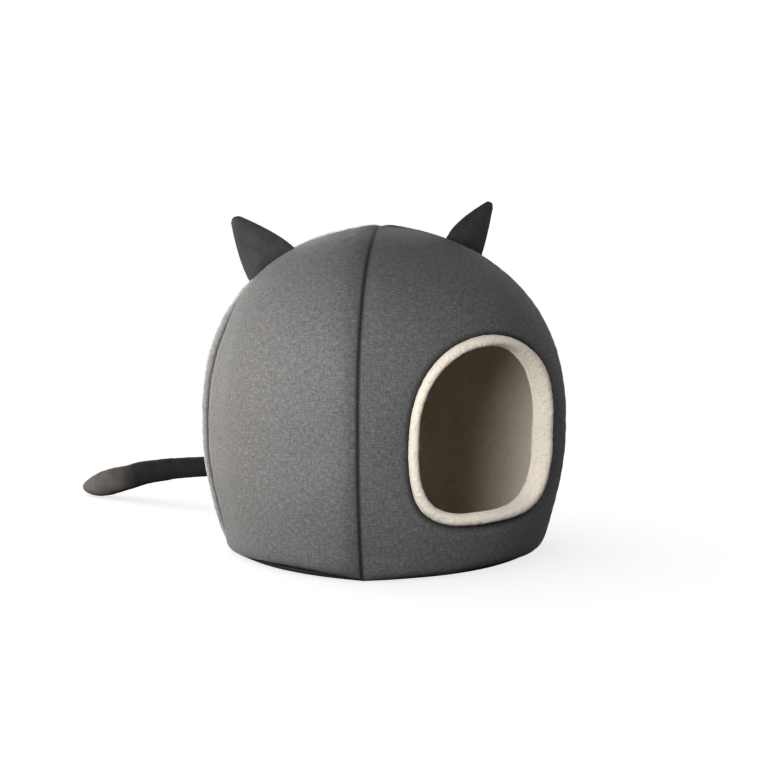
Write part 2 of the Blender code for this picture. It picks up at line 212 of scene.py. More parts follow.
def crown(z):
    """Fraction of the way from the widest level up to the apex."""
    return np.clip((z - WIDEST_HEIGHT) / (DOME_HEIGHT - WIDEST_HEIGHT), 0.0, 1.0)


def seam_radius(z):
    """Distance from the dome's axis to a seam at height z."""
    below = np.clip((WIDEST_HEIGHT - z) / WIDEST_HEIGHT, 0.0, 1.0)
    low = SEAM_RADIUS - (SEAM_RADIUS - FLOOR_RADIUS) * below ** FLARE_POWER
    high = SEAM_RADIUS * (1.0 - crown(z) ** CROWN_POWER) ** SHOULDER_POWER
    return np.where(z <= WIDEST_HEIGHT, low, high)


def roundness(z):
    """How round a level is, from 0, straight between seams, to 1, a circle."""
    low = ROUNDNESS_FLOOR + (ROUNDNESS_WIDEST - ROUNDNESS_FLOOR) * z / WIDEST_HEIGHT
    high = ROUNDNESS_WIDEST + (ROUNDNESS_APEX - ROUNDNESS_WIDEST) * crown(z)
    return np.where(z <= WIDEST_HEIGHT, low, high)


def seam_profile(samples=2400):
    """Heights up a seam with the fraction of its length, close together near the apex."""
    top = APEX_RADIUS / SEAM_RADIUS
    top = (1.0 - top ** (1.0 / SHOULDER_POWER)) ** (1.0 / CROWN_POWER)
    part = np.arange(samples + 1) / samples
    straight = WALL_FOOT + (WIDEST_HEIGHT - WALL_FOOT) * part / 0.35
    rise = np.sin(np.clip(part - 0.35, 0.0, 1.0) / 0.65 * pi / 2)
    domed = WIDEST_HEIGHT + (DOME_HEIGHT - WIDEST_HEIGHT) * rise * top
    heights = np.where(part < 0.35, straight, domed)
    steps = np.hypot(np.diff(heights), np.diff(seam_radius(heights)))
    lengths = np.concatenate([[0.0], np.cumsum(steps)])
    return heights, lengths / lengths[-1], lengths[-1]


HEIGHTS, CLIMBS, SEAM_LENGTH = seam_profile()


def turn_from(angle, middle):
    return (angle - middle + 180.0) % 360.0 - 180.0


def gore_at(angle):
    """Name of the gore at an angle round the dome."""
    for name, (middle, half) in GORES.items():
        if abs(turn_from(angle, middle)) <= half + 1e-9:
            return name
    return "front"


def flat_radius(turn, z, half):
    """Distance from the axis to a gore without padding, at a turn from its middle."""
    stretch = cos(radians(half)) / np.cos(np.radians(turn))
    q = roundness(z)
    return seam_radius(z) * ((1.0 - q) * stretch + q)


def to_seam(turn, z, half):
    return np.maximum(0.0, np.radians(half - np.abs(turn))) * seam_radius(z)


def padding(turn, z, half, foot):
    """How far the padded face stands out from the seams."""
    across = 1.0 - np.exp(-to_seam(turn, z, half) / PUFF_REACH)
    up = HEM_PUFF + (1.0 - HEM_PUFF) * (1.0 - np.exp(-np.maximum(0.0, z - foot) / HEM_REACH))
    return PUFF * across * up * np.clip(seam_radius(z) / PUFF_APEX_RADIUS, 0.0, 1.0)


def fullness(name, turn, z, half):
    """How much more or less a gore is filled beside the left back and front left seams."""
    edge = to_seam(turn, z, half)
    if name not in FULLNESS_FOOT:
        return 0.0 * edge
    angle = turn + GORES[name][0]
    share = 1.0 - np.exp(-edge / FULLNESS_EDGE)
    share = share * np.clip(z / FULLNESS_FOOT[name], 0.0, 1.0)
    share = share * np.clip((FULLNESS_TOP - z) / FULLNESS_FADE, 0.0, 1.0)
    if name == "left":
        return -SLACK_LEFT * share * near_seam(angle, LEFT_BACK_SEAM, SLACK_LEFT_REACH)
    if name == "back":
        return FULL_BACK * share * near_seam(angle, LEFT_BACK_SEAM, FULL_BACK_REACH)
    return -ROLL_FRONT * share * np.exp(-edge / ROLL_FRONT_REACH) * (turn < 0.0)


def apex_lift(turn, z, half):
    """Height added to the cloth round the apex."""
    radius = seam_radius(z)
    shoulder = radius / APEX_SHOULDER * np.exp(1.0 - radius / APEX_SHOULDER)
    shoulder = shoulder ** 2 * (1.0 - np.exp(-to_seam(turn, z, half) / APEX_SHOULDER_EDGE))
    return APEX_RISE * shoulder - APEX_SINK * np.exp(-(radius / APEX_SINK_RADIUS) ** 2)


def slope_out(z):
    """Outward direction across a seam, as (outward, upward) parts."""
    high = np.minimum(z + 0.0005, HEIGHTS[-1])
    low = np.maximum(z - 0.0005, 0.0)
    run = seam_radius(high) - seam_radius(low)
    size = np.hypot(high - low, run)
    return (high - low) / size, -run / size * np.clip((z - WALL_FOOT) / 0.03, 0.0, 1.0)


def hem_height(name, across):
    """Height of a gore's lower edge, at a fraction across it."""
    middle, width, height = HEM_LIFT[name]
    hump = np.clip(1.0 - ((across - middle) / width) ** 2, 0.0, 1.0)
    return HEM_REST + height * hump ** 1.5


def near_seam(angle, seam, reach):
    """1 at a seam, easing to 0 at a reach of degrees from it."""
    away = np.abs(turn_from(angle, seam)) / reach
    return 0.5 + 0.5 * np.cos(pi * np.clip(away, 0.0, 1.0))


def swing(angle, z):
    """Degrees by which the cloth is drawn round the dome at an angle and height."""
    rise = np.clip(z / BACK_SWING_FOOT, 0.0, 1.0)
    fall = np.clip((BACK_SWING_TOP - z) / BACK_SWING_FADE, 0.0, 1.0)
    back = BACK_SWING * rise * (2.0 - rise) * fall * (2.0 - fall)
    top = CROWN_SWING * crown(z) ** CROWN_SWING_POWER
    return (back * near_seam(angle, LEFT_BACK_SEAM, BACK_SWING_REACH)
            + top * near_seam(angle, FRONT_HALF_ANGLE, CROWN_SWING_REACH))


def place(turn, radius, z, middle):
    """Points at a turn from a gore's middle, a distance from the axis and a height."""
    lean = crown(z) ** 2
    angle = turn + middle
    angle = np.radians(angle + swing(angle, z))
    x = radius * np.sin(angle) + APEX_SHIFT[0] * lean
    y = -radius * np.cos(angle) + APEX_SHIFT[1] * lean
    return np.stack([x, y, z], axis=-1)


def gore_face(name, across, climb, depth=None):
    """A gore's padded outer face, or its face at a depth under the seams."""
    middle, half = GORES[name]
    z = np.interp(climb, CLIMBS, HEIGHTS)
    trim = np.degrees(GAP / 2 / np.maximum(seam_radius(z), 0.001))
    limit = np.maximum(half - trim, 0.0)
    turn = np.clip(across * half, -limit, limit)
    foot = hem_height(name, across)
    z = z + (foot - WALL_FOOT) * np.exp(-(z - WALL_FOOT) / HEM_FADE)
    radius = flat_radius(turn, z, half)
    if depth is None:
        radius = radius + padding(turn, z, half, foot) + fullness(name, turn, z, half)
        return place(turn, radius, z + apex_lift(turn, z, half), middle)
    out, up = slope_out(z)
    points = place(turn, radius - depth * out, z, middle)
    points[..., 2] -= depth * up
    return points


def dome_radius(angle, z):
    """Distance from the axis to the padded face at an angle and height."""
    drawn = angle
    for _ in range(12):
        angle = drawn - swing(angle, z)
    middle, half = GORES[gore_at(angle)]
    turn = turn_from(angle, middle)
    return float(flat_radius(turn, z, half) + padding(turn, z, half, WALL_FOOT))


def clear_of_dome(point):
    """Radial distance from a point to the padded face, positive outside."""
    if point.z >= DOME_HEIGHT:
        return 1.0
    lean = float(crown(point.z)) ** 2
    x, y = point.x - APEX_SHIFT[0] * lean, point.y - APEX_SHIFT[1] * lean
    return hypot(x, y) - dome_radius(degrees(atan2(x, -y)), point.z)


# Meshes

def lumps(points, size, shift=0.0):
    """Smooth random values, about -1 to 1, with features of a given size."""
    flat = points.reshape(-1, 3) / size + shift
    values = [noise.noise(Vector(p)) for p in flat]
    return np.array(values).reshape(points.shape[:-1])


def grid_normals(points, closed=False):
    """Unit normals of a grid of points, rows by columns."""
    down = np.gradient(points, axis=0)
    if closed:
        side = np.roll(points, -1, axis=1) - np.roll(points, 1, axis=1)
    else:
        side = np.gradient(points, axis=1)
    normal = np.cross(side, down)
    size = np.linalg.norm(normal, axis=-1, keepdims=True)
    return normal / np.maximum(size, 1e-12)


def facing_out(normals, points):
    """Normals turned away from the middle of a tube of points."""
    away = points - points.mean(axis=1, keepdims=True)
    return normals * np.sign((normals * away).sum(axis=-1).mean())


def spans(points, axis):
    """Distance run along a grid's rows or columns, from its first point."""
    steps = np.linalg.norm(np.diff(points, axis=axis), axis=-1)
    first = np.zeros_like(np.take(steps, [0], axis=axis))
    return np.concatenate([first, np.cumsum(steps, axis=axis)], axis=axis)


class Piece:
    """Collects grids of points into one mesh, with a cloth map in metres."""

    def __init__(self, name):
        self.name = name
        self.points = []
        self.maps = []
        self.edges = []
        self.faces = []
        self.count = 0

    def grid(self, points, cloth, closed=False, flip=False, edge=None):
        """Adds a grid; edge is the distance to the nearest seam, where the cloth has any."""
        rows, columns = points.shape[:2]
        first = self.count
        self.points.append(points.reshape(-1, 3))
        self.maps.append(np.stack(cloth, axis=-1).reshape(-1, 2))
        self.edges.append(np.ones(rows * columns) if edge is None else edge.reshape(-1))
        self.count += rows * columns
        numbers = first + np.arange(rows * columns).reshape(rows, columns)
        if closed:
            numbers = np.concatenate([numbers, numbers[:, :1]], axis=1)
        corners = [numbers[:-1, :-1], numbers[:-1, 1:], numbers[1:, 1:], numbers[1:, :-1]]
        if flip:
            corners.reverse()
        self.faces.append(np.stack(corners, axis=-1).reshape(-1, 4))
        return numbers

    def bridge(self, low, high, flip=False):
        """Faces between two matching lines of point numbers."""
        corners = [low[:-1], low[1:], high[1:], high[:-1]]
        if flip:
            corners.reverse()
        self.faces.append(np.stack(corners, axis=-1))

    def build(self, finish):
        mesh = bpy.data.meshes.new(self.name)
        points = np.concatenate(self.points)
        cloth = np.concatenate(self.maps)
        faces = np.concatenate(self.faces)
        mesh.from_pydata(points.tolist(), [], faces.tolist())
        layer = mesh.uv_layers.new(name="cloth")
        layer.data.foreach_set("uv", cloth[faces.reshape(-1)].reshape(-1).astype(np.float32))
        edge = np.concatenate(self.edges)[faces.reshape(-1)]
        if edge.min() < 0.5:
            layer = mesh.uv_layers.new(name="edge")
            pairs = np.stack([edge, np.zeros(len(edge))], axis=-1)
            layer.data.foreach_set("uv", pairs.reshape(-1).astype(np.float32))
        mesh.materials.append(finish)
        mesh.shade_smooth()
        mesh.set_sharp_from_angle(angle=radians(70.0))
        piece = bpy.data.objects.new(self.name, mesh)
        bpy.context.scene.collection.objects.link(piece)
        return piece


def show(piece, slot, *nodes):
    """Puts a piece on the body in place of CAD nodes."""
    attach(piece, "root")
    if nodes:
        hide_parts(*nodes)
    return piece


# Materials

SHADER_INPUTS = {
    "roughness": "Roughness",
    "specular": "Specular IOR Level",
    "sheen": "Sheen Weight",
    "sheen_roughness": "Sheen Roughness",
}


def shader(name, **values):
    """A new material with its surface shader's plain values set."""
    material = bpy.data.materials.new(name)
    material.use_nodes = True
    surface = material.node_tree.nodes["Principled BSDF"]
    for key, value in values.items():
        surface.inputs[SHADER_INPUTS[key]].default_value = value
    return material, material.node_tree, surface


def add(tree, kind, inputs=(), **settings):
    """Adds a node, with its settings and its inputs as values or links."""
    node = tree.nodes.new(kind)
    for key, value in settings.items():
        setattr(node, key, value)
    for key, value in dict(inputs).items():
        if isinstance(value, bpy.types.NodeSocket):
            tree.links.new(value, node.inputs[key])
        else:
            node.inputs[key].default_value = value
    return node


def math(tree, operation, a, b=0.0):
    return add(tree, "ShaderNodeMath", {0: a, 1: b}, operation=operation).outputs[0]


def weighted(tree, *parts):
    """Sum of values, each with its weight."""
    total = None
    for value, weight in parts:
        value = math(tree, "MULTIPLY", value, weight)
        total = value if total is None else math(tree, "ADD", total, value)
    return total


def mixed_colour(tree, factor, first, second):
    """A colour between two, either of them a socket or a plain colour."""
    node = add(tree, "ShaderNodeMix", {"Factor": factor}, data_type="RGBA")
    for key, colour in (("A", first), ("B", second)):
        if isinstance(colour, bpy.types.NodeSocket):
            tree.links.new(colour, node.inputs[key])
        else:
            node.inputs[key].default_value = (*colour, 1.0)
    return node.outputs["Result"]


def stretched_noise(tree, place_on, scale, detail=2.0):
    """Noise on the cloth, scale being features a metre along and across."""
    mapping = add(tree, "ShaderNodeMapping", {"Vector": place_on, "Scale": scale})
    return add(tree, "ShaderNodeTexNoise",
               {"Vector": mapping.outputs[0], "Scale": 1.0, "Detail": detail}).outputs[0]


def ramp(tree, value, stops):
    """Colours between stops of (place, colour)."""
    node = add(tree, "ShaderNodeValToRGB", {0: value})
    ends = node.color_ramp.elements
    while len(ends) < len(stops):
        ends.new(0.5)
    for end, (at, colour) in zip(ends, stops):
        end.position = at
        end.color = (*colour, 1.0)
    return node.outputs[0]


def shade(colour, factor):
    return tuple(c * factor for c in colour)


def bump(tree, surface, height, distance, strength=1.0):
    node = add(tree, "ShaderNodeBump",
               {"Height": height, "Distance": distance, "Strength": strength})
    tree.links.new(node.outputs[0], surface.inputs["Normal"])


def woven(name, colour, contrast, pitch, relief, shine):
    """Heathered cloth: uneven yarns both ways, pale flecks, a fine weave, and painted shade in the
    seams.
    """
    material, tree, surface = shader(name, roughness=0.92, specular=0.18,
                                     sheen=shine, sheen_roughness=0.32)
    cloth = add(tree, "ShaderNodeUVMap", uv_map="cloth").outputs[0]
    along = stretched_noise(tree, cloth, (150.0, 640.0, 1.0))
    across = stretched_noise(tree, cloth, (640.0, 150.0, 1.0))
    mottle = stretched_noise(tree, cloth, (330.0, 330.0, 1.0), 3.0)
    solid = add(tree, "ShaderNodeTexCoord").outputs["Object"]
    wear = stretched_noise(tree, solid, (11.0, 11.0, 11.0))
    yarns = weighted(tree, (along, 0.36), (across, 0.36), (mottle, 0.20), (wear, 0.08))
    base = ramp(tree, yarns, [
        (0.38, shade(colour, 1.0 - 1.3 * contrast)),
        (0.50, colour),
        (0.57, shade(colour, 1.0 + 1.1 * contrast)),
        (0.66, shade(colour, 1.0 + 2.2 * contrast)),
    ])
    # Painted shade: the colour falls to SEAM_SHADE of itself close to a seam and beside the
    # doorway's binding
    edge = add(tree, "ShaderNodeUVMap", uv_map="edge").outputs[0]
    edge = add(tree, "ShaderNodeSeparateXYZ", {0: edge}).outputs[0]
    clear_of_painted_shade = add(tree, "ShaderNodeMapRange",
                    {"Value": edge, "From Min": SEAM_SHADE_FROM,
                     "From Max": SEAM_SHADE_TO}).outputs[0]
    base = mixed_colour(tree, clear_of_painted_shade, shade(colour, SEAM_SHADE), base)
    tree.links.new(base, surface.inputs["Base Color"])
    split = add(tree, "ShaderNodeSeparateXYZ", {0: cloth})
    turns = 2.0 * pi / pitch
    weft = math(tree, "SINE", math(tree, "MULTIPLY", split.outputs[0], turns))
    warp = math(tree, "SINE", math(tree, "MULTIPLY", split.outputs[1], turns))
    weave = math(tree, "MULTIPLY", weft, warp)
    bump(tree, surface, weighted(tree, (weave, 0.22), (yarns, 1.0)), relief)
    return material


def brushed(name, colour, shine, tip=None):
    """Dark brushed felt with a short nap, and at a tip a lighter colour that is painted light."""
    material, tree, surface = shader(name, roughness=0.95, specular=shine,
                                     sheen=shine, sheen_roughness=0.5)
    solid = add(tree, "ShaderNodeTexCoord").outputs["Object"]
    nap = stretched_noise(tree, solid, (900.0, 900.0, 900.0), 3.0)
    patch = stretched_noise(tree, solid, (60.0, 60.0, 60.0))
    mixed = weighted(tree, (nap, 0.6), (patch, 0.4))
    base = ramp(tree, mixed, [
        (0.34, shade(colour, 0.70)),
        (0.52, colour),
        (0.68, shade(colour, 1.45)),
    ])
    # Painted light: the colour turns lighter along the cloth map toward a tip
    if tip:
        cloth = add(tree, "ShaderNodeUVMap", uv_map="cloth").outputs[0]
        run = add(tree, "ShaderNodeSeparateXYZ", {0: cloth}).outputs[1]
        start, end, painted_tip_colour = tip
        painted_tip_share = add(tree, "ShaderNodeMapRange",
                   {"Value": run, "From Min": start, "From Max": end}).outputs[0]
        painted_tip_share = math(tree, "MULTIPLY", painted_tip_share, math(tree, "ADD", patch, 0.35))
        base = mixed_colour(tree, painted_tip_share, base, painted_tip_colour)
    tree.links.new(base, surface.inputs["Base Color"])
    bump(tree, surface, mixed, 0.0008)
    return material


def fleece(name, colour, curl):
    """Cream pile in small curls, with painted shade between them."""
    material, tree, surface = shader(name, roughness=1.0, specular=0.1,
                                     sheen=0.30, sheen_roughness=0.6)
    solid = add(tree, "ShaderNodeTexCoord").outputs["Object"]
    curls = add(tree, "ShaderNodeTexVoronoi", {"Vector": solid, "Scale": 1.0 / curl},
                feature="SMOOTH_F1").outputs["Distance"]
    strands = stretched_noise(tree, solid, (1500.0, 1500.0, 1500.0), 3.0)
    patch = stretched_noise(tree, solid, (45.0, 45.0, 45.0))
    depth = math(tree, "SUBTRACT", 1.0, curls)
    height = weighted(tree, (depth, 0.7), (strands, 0.45))
    tone = weighted(tree, (height, 0.75), (patch, 0.25))
    # Painted shade: the colour is darker where the pile is low between the curls
    base = ramp(tree, tone, [
        (0.30, shade(colour, 0.72)),
        (0.55, shade(colour, 0.94)),
        (0.75, colour),
    ])
    tree.links.new(base, surface.inputs["Base Color"])
    bump(tree, surface, height, 0.0016)
    return material


def bottom_cloth(name, colour):
    """Near-black non-woven cloth with small pressed dots."""
    material, tree, surface = shader(name, roughness=0.85, specular=0.2)
    cloth = add(tree, "ShaderNodeUVMap", uv_map="cloth").outputs[0]
    dots = add(tree, "ShaderNodeTexVoronoi", {"Vector": cloth, "Scale": 420.0, "Randomness": 0.15})
    fibres = stretched_noise(tree, cloth, (1300.0, 500.0, 1.0), 3.0)
    height = weighted(tree, (dots.outputs["Distance"], 1.0), (fibres, 0.5))
    base = ramp(tree, fibres, [(0.35, shade(colour, 0.7)), (0.65, shade(colour, 1.4))])
    tree.links.new(base, surface.inputs["Base Color"])
    bump(tree, surface, height, 0.0003)
    return material


# Gores and linings

def toward_ends(count, power):
    """Fractions from -1 to 1, closer together toward both ends."""
    even = np.linspace(-1.0, 1.0, count)
    return np.sign(even) * (1.0 - (1.0 - np.abs(even)) ** power)


def up_gore(rows, foot_rows, foot_share=0.022):
    """Climbs from the foot of a gore to the apex, closer together at the hem."""
    hem = np.linspace(0.0, foot_share, foot_rows, endpoint=False)
    return np.concatenate([hem, np.linspace(foot_share, 1.0, rows)])


def uneven(name, points, across, climb, normals):
    """Soft hollows and swells of the padding, and small puckers along the seams."""
    middle, half = GORES[name]
    z = np.interp(climb, CLIMBS, HEIGHTS)
    edge = to_seam(across * half, z, half)
    inside = 1.0 - np.exp(-edge / 0.014)
    soft = SOFT_DEPTH * lumps(points, SOFT_SIZE, middle)
    fine = FINE_DEPTH * lumps(points, FINE_SIZE, middle + 5.0)
    pulled = lumps(points, PUCKER_SIZE, middle + 9.0)
    near = (edge / PUCKER_REACH) * np.exp(1.0 - edge / PUCKER_REACH)
    lift = (soft + fine) * inside + PUCKER_DEPTH * pulled * np.clip(near, 0.0, 1.0) * (edge < 0.05)
    return points + normals * lift[..., None]


def gore_maps(name, across, climb):
    """Cloth map of a gore in metres, across it and up it."""
    half = GORES[name][1]
    z = np.interp(climb, CLIMBS, HEIGHTS)
    return across * radians(half) * seam_radius(z), climb * SEAM_LENGTH


def from_seam(name, across, climb):
    """Distance from points of a gore to its nearer seam."""
    half = GORES[name][1]
    return to_seam(across * half, np.interp(climb, CLIMBS, HEIGHTS), half)


def gore_grid(columns, rows, foot_rows, power=1.7):
    across = toward_ends(columns, power)
    climb = up_gore(rows, foot_rows)
    return np.meshgrid(across, climb)


def shell(piece, outer, inner, cloth, closed, edge=None):
    """Joins an outer and an inner grid along their edges into one closed skin."""
    out = piece.grid(outer, cloth, closed, edge=edge)
    back = piece.grid(inner, cloth, closed, flip=True, edge=edge)
    piece.bridge(out[0], back[0], flip=True)
    piece.bridge(out[-1], back[-1])
    if not closed:
        piece.bridge(out[:, 0], back[:, 0])
        piece.bridge(out[:, -1], back[:, -1], flip=True)


def make_gore(name, finish):
    """A padded gore without an opening."""
    across, climb = gore_grid(111, 150, 10)
    cloth = gore_maps(name, across, climb)
    outer = gore_face(name, across, climb)
    outer = uneven(name, outer, across, climb, grid_normals(outer))
    inner = gore_face(name, across, climb, WALL_DEPTH)
    piece = Piece("felt_gore_" + name)
    # The distance to the seams sets the painted shade in the felt's colour
    shell(piece, outer, inner, cloth, closed=False, edge=from_seam(name, across, climb))
    return piece.build(finish)


def fleece_surface(points, normals, depth):
    """Raises a fleece face in soft lumps, never below where it starts."""
    lift = 0.5 + 0.5 * lumps(points, 0.030, 3.0)
    lift += 0.35 * (1.0 + lumps(points, 0.0075, 7.0))
    return points + normals * (lift * depth)[..., None]


def make_lining(name, finish):
    """A gore's fleece lining, with its inner face for measuring."""
    front = name == "front"
    across, climb = front_rings(60, 70, 34, 1.3) if front else gore_grid(61, 90, 4, 1.2)
    cloth = gore_maps(name, across, climb)
    back = gore_face(name, across, climb, WALL_DEPTH + GAP)
    face = gore_face(name, across, climb, WALL_DEPTH + GAP + LINING_THICKNESS - LINING_PILE)
    inward = grid_normals(face, closed=front) * (1.0 if front else -1.0)
    face = fleece_surface(face, inward, LINING_PILE)
    piece = Piece("fleece_lining_" + name)
    shell(piece, back, face, cloth, closed=front)
    return piece.build(finish), face


def door_reach(bearing, inset=0.0):
    """Distance from the doorway's middle to its outline, at a bearing in the front view."""
    c, s = np.cos(bearing), np.sin(bearing)
    power = np.where(s >= 0.0, DOOR_TOP_POWER, DOOR_SILL_POWER)
    width = DOOR_HALF_WIDTH - inset
    height = DOOR_HALF_HEIGHT - inset
    return (np.abs(c / width) ** power + np.abs(s / height) ** power) ** (-1.0 / power)


def door_place(bearing, inset=0.0):
    """Fractions across and up the front gore of points on the doorway's outline."""
    half = FRONT_HALF_ANGLE
    reach = door_reach(bearing, inset)
    x = reach * np.cos(bearing)
    z = DOOR_MIDDLE_HEIGHT + reach * np.sin(bearing)
    turn = np.zeros_like(x)
    for _ in range(14):
        radius = flat_radius(turn, z, half) + padding(turn, z, half, WALL_FOOT)
        turn = np.degrees(np.arcsin(x / radius))
    return turn / half, np.interp(z, HEIGHTS, CLIMBS)


def front_border(sill, side):
    """The front gore's edge, once round, as fractions across and up."""
    low = np.linspace(-1.0, 1.0, sill, endpoint=False)
    up = np.linspace(0.0, 1.0, side)
    down = np.linspace(1.0, 0.0, side - 1, endpoint=False)[1:]
    across = np.concatenate([low, np.ones(side), -np.ones(len(down))])
    climb = np.concatenate([np.zeros(sill), up, down])
    return across, climb


def border_bearings(across, climb):
    """Bearings of the gore's edge points, seen from the doorway's middle."""
    half = FRONT_HALF_ANGLE
    z = np.interp(climb, CLIMBS, HEIGHTS)
    turn = across * half
    radius = flat_radius(turn, z, half) + padding(turn, z, half, WALL_FOOT)
    return np.arctan2(z - DOOR_MIDDLE_HEIGHT, radius * np.sin(np.radians(turn)))


def front_rings(sill, side, rings, power):
    """Grid over the front gore, from the doorway's edge out to the gore's edge."""
    edge_across, edge_climb = front_border(sill, side)
    door_across, door_climb = door_place(border_bearings(edge_across, edge_climb))
    part = ((toward_ends(rings, power) + 1.0) / 2.0)[:, None]
    across = door_across + (edge_across - door_across) * part
    climb = door_climb + (edge_climb - door_climb) * part
    return across, climb


def pinched(points, inner):
    """Draws the padded face in a little where it meets the doorway's binding."""
    away = np.linalg.norm(points - points[:1], axis=-1)
    pull = DOOR_PINCH * np.exp(-away / DOOR_PINCH_REACH)
    return points + (inner - points) * pull[..., None]


def make_front(finish):
    """The padded front gore, open at the doorway."""
    across, climb = front_rings(130, 150, 84, 1.7)
    cloth = gore_maps("front", across, climb)
    outer = gore_face("front", across, climb)
    inner = gore_face("front", across, climb, WALL_DEPTH)
    normals = -grid_normals(outer, closed=True)
    outer = uneven("front", outer, across, climb, normals)
    outer = pinched(outer, inner)
    away = np.linalg.norm(outer - outer[:1], axis=-1)
    # Painted shade: the felt's colour darkens within about 9 mm of the doorway's binding, as beside
    # a seam
    edge = np.minimum(from_seam("front", across, climb), away * DOOR_SHADE)
    piece = Piece("felt_gore_front")
    shell(piece, outer, inner, cloth, closed=True, edge=edge)
    return piece.build(finish)


def make_rim(finish, around=620, section=40):
    """The rolled fleece binding, swept round the doorway's edge."""
    bearing = np.linspace(-pi, pi, around, endpoint=False)[:, None]
    turn = np.linspace(0.0, 2.0 * pi, section, endpoint=False)[None, :]
    power = 2.0 / RIM_SECTION_POWER
    into = RIM_MIDDLE + RIM_HALF_WIDTH * np.sign(np.cos(turn)) * np.abs(np.cos(turn)) ** power
    middle = (RIM_FRONT + RIM_BACK) / 2
    half = (RIM_FRONT - RIM_BACK) / 2
    lift = middle + half * np.sign(np.sin(turn)) * np.abs(np.sin(turn)) ** power
    into, lift, bearing = np.broadcast_arrays(into, lift, bearing)
    across, climb = door_place(bearing, into)
    inner = gore_face("front", across, climb, WALL_DEPTH)
    outer = gore_face("front", across, climb)
    share = ((lift + WALL_DEPTH) / (PUFF + WALL_DEPTH))[..., None]
    points = inner + (outer - inner) * share
    ring = np.concatenate([points[-1:], points, points[:1]], axis=0)
    normals = facing_out(grid_normals(ring, closed=True)[1:-1], points)
    lift = 0.00045 * lumps(points, 0.0042, 1.0) + 0.00020 * lumps(points, 0.0019, 4.0)
    lift += 0.0007 * lumps(points, 0.030, 8.0)
    points = points + normals * lift[..., None]
    points = np.concatenate([points, points[:1]], axis=0)
    cloth = spans(points, 0), spans(points, 1)
    piece = Piece("fleece_rim")
    piece.grid(points, cloth, closed=True)
    return piece.build(finish)


def make_stitches(finish, pitch=0.0042, length=0.0028, radius=0.0003):
    """Thread stitches down in the four seams."""
    piece = Piece("seam_stitches")
    count = int(SEAM_LENGTH / pitch)
    turn = np.linspace(0.0, 2.0 * pi, 6, endpoint=False)
    along = np.array([-0.5, -0.42, -0.2, 0.2, 0.42, 0.5])
    thick = np.array([0.15, 0.7, 1.0, 1.0, 0.7, 0.15])
    for middle, half in (GORES["front"], GORES["back"]):
        for side in (-half, half):
            for i in range(2, count - 2):
                z = np.interp((i + along * length / pitch) / count, CLIMBS, HEIGHTS)
                centre = place(np.full(6, side), seam_radius(z) + 0.0002, z, middle)
                way = radians(middle + side)
                around = np.array([cos(way), sin(way), 0.0])
                out, up = slope_out(z)
                outward = np.stack([out * sin(way), -out * cos(way), up], axis=-1)
                ring = (around[None, None] * np.cos(turn)[None, :, None]
                        + outward[:, None] * np.sin(turn)[None, :, None])
                points = centre[:, None] + ring * (thick * radius)[:, None, None]
                cloth = np.broadcast_arrays(turn[None, :] * radius, along[:, None] * length)
                piece.grid(points, cloth, closed=True)
    return piece.build(finish)


# Base

def base_ring(inset, z, angles, belly=0.0):
    """Points round the base, an inset from the gores' hem, and fuller between the seams."""
    points = []
    for angle, height in zip(angles, z):
        middle, half = GORES[gore_at(angle)]
        from_middle = turn_from(angle, middle)
        radius = float(flat_radius(from_middle, 0.0, half)) + HEM_OUT - inset
        radius += belly * (1.0 - (from_middle / half) ** 2)
        turn = radians(angle)
        points.append((radius * sin(turn), -radius * cos(turn), height))
    return np.array(points)


def hem_over(angles):
    """Height of the hem over each angle round the base."""
    heights = []
    for angle in angles:
        name = gore_at(angle)
        middle, half = GORES[name]
        heights.append(float(hem_height(name, turn_from(angle, middle) / half)))
    return np.array(heights)


def make_base(finish):
    """The bottom cloth, turned up to meet the gores' hems."""
    angles = np.linspace(-180.0, 180.0, 360, endpoint=False)
    level = np.ones(len(angles))
    edge = np.maximum(hem_over(angles) - 0.0003, 0.0005)
    under, over = level * BASE_UNDER, level * BASE_CLOTH
    profile = (
        (0.150, under), (0.030, under), (BASE_INSET + 0.0012, under),
        (BASE_INSET + 0.0003, edge * 0.25), (BASE_INSET, edge * 0.6),
        (BASE_INSET + 0.0004, edge * 0.93), (BASE_INSET + 0.0020, edge),
        (BASE_INSET + 0.0060, edge), (BASE_INSET + 0.0120, over), (0.030, over), (0.150, over),
    )
    rings = [base_ring(inset, z, angles) for inset, z in profile]
    points = np.stack(rings)
    piece = Piece("base_cloth")
    cloth = spans(np.concatenate([points, points[:, :1]], axis=1), 1)[:, :-1], spans(points, 0)
    piece.grid(points, cloth, closed=True, flip=True)
    return piece.build(finish)


